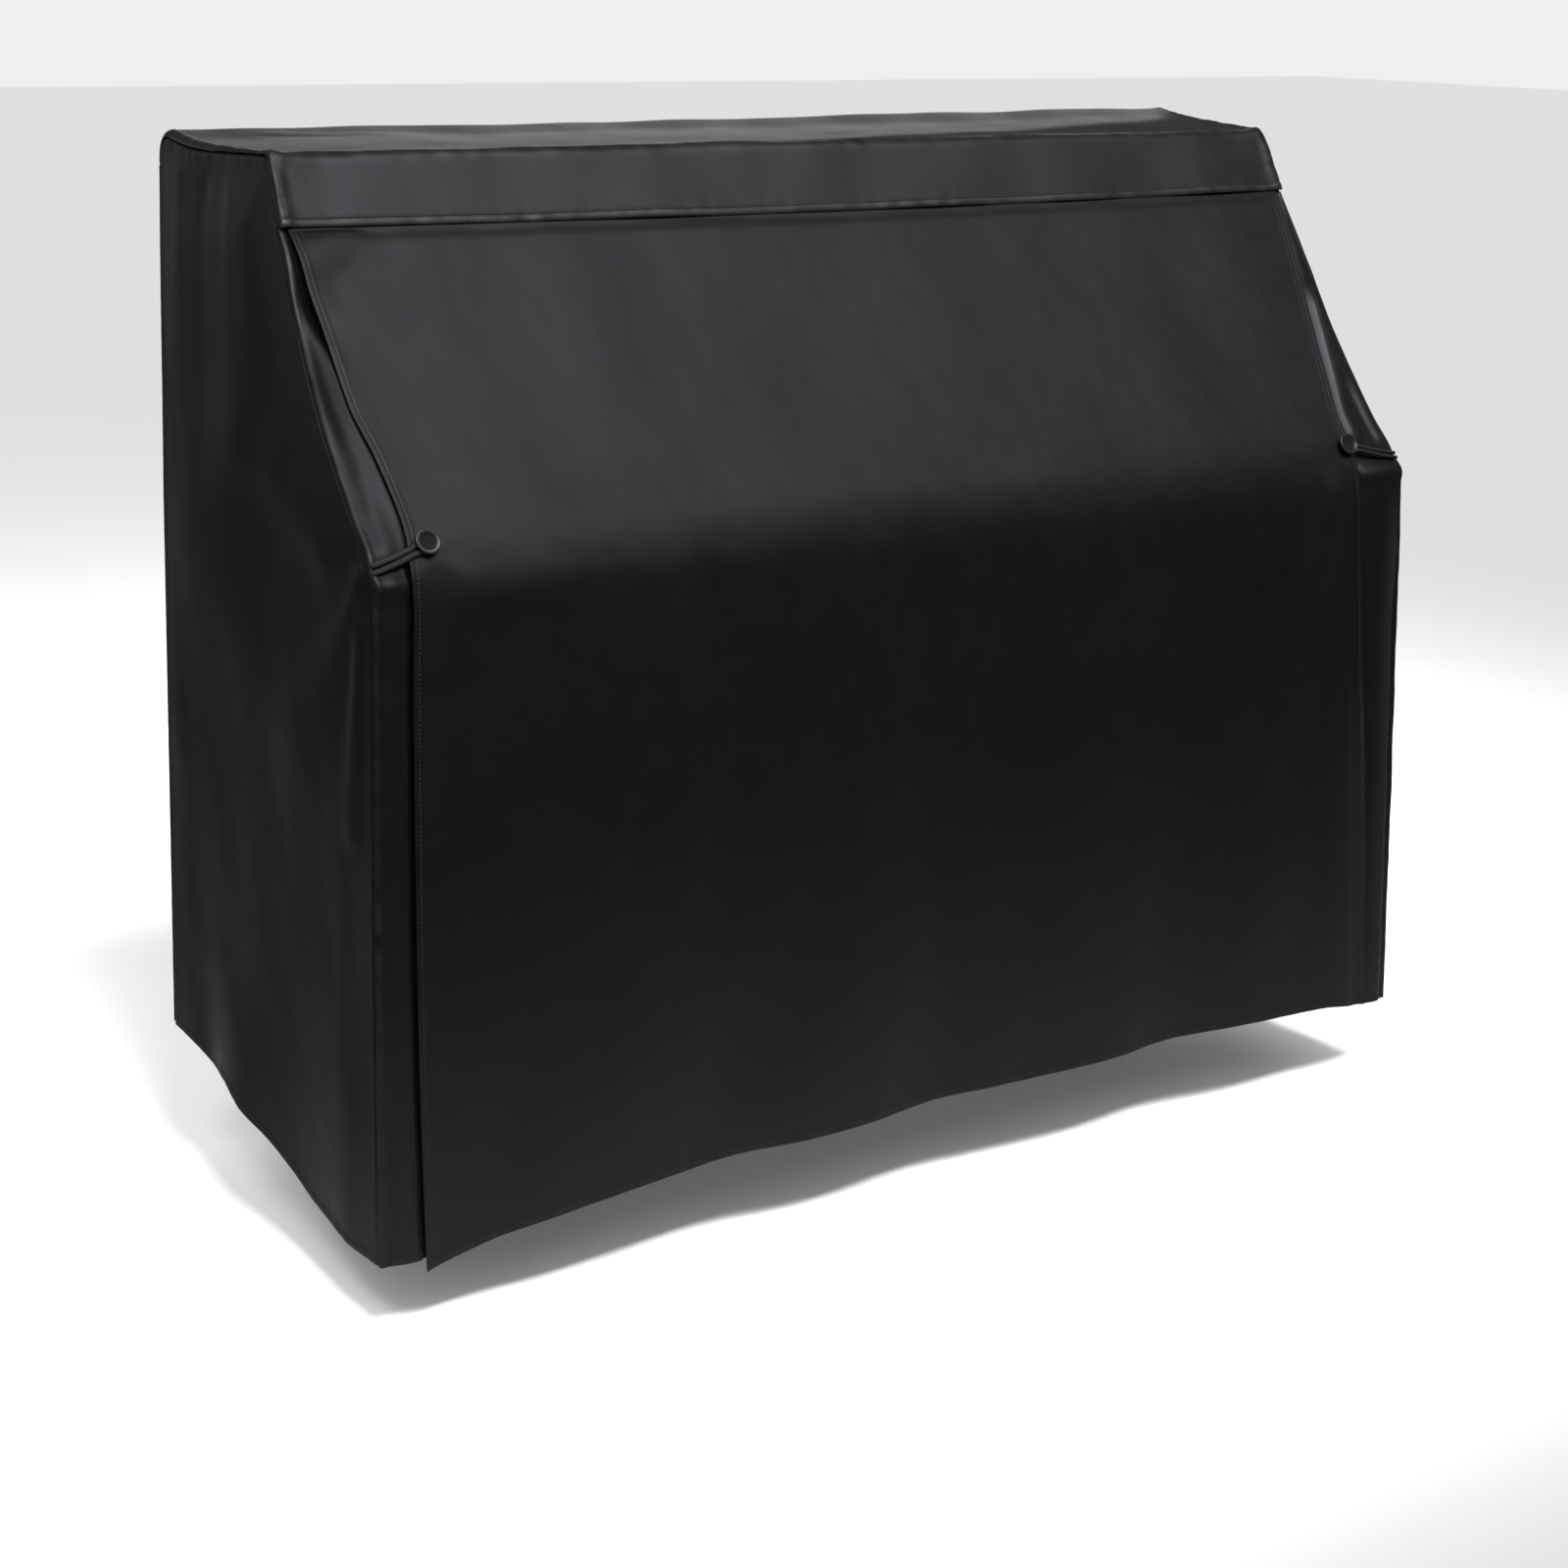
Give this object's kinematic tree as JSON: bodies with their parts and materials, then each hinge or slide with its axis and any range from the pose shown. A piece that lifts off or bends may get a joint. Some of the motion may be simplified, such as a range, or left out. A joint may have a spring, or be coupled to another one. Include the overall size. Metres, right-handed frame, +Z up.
{
  "type": "fitted cover for an upright piano",
  "caption": "Fitted black cloth cover for an upright piano: lid with a turned-down band, sloping front flap, end and back sheets, corner return strips, cord loops and buttons, open below.",
  "frame": {"origin": "middle of the lid sheet's underside, where the piano's lid carries the cover", "axes": "+Z up, +X along the keyboard to the player's right, the player's side at -Y"},
  "size_m": [1.5749, 0.598, 1.2146],
  "materials": {
    "cloth": "black woven cloth with a soft satin sheen",
    "cord": "black braided round cord",
    "button": "glossy black resin"
  },
  "bodies": {
    "root": {"top_panel": "cloth", "front_panel": "cloth", "end_left": "cloth", "end_right": "cloth", "back_panel": "cloth", "gusset_left": "cloth", "gusset_right": "cloth", "loop_left": "cord", "loop_right": "cord", "button_left": "button", "button_right": "button"}
  },
  "joints": []
}
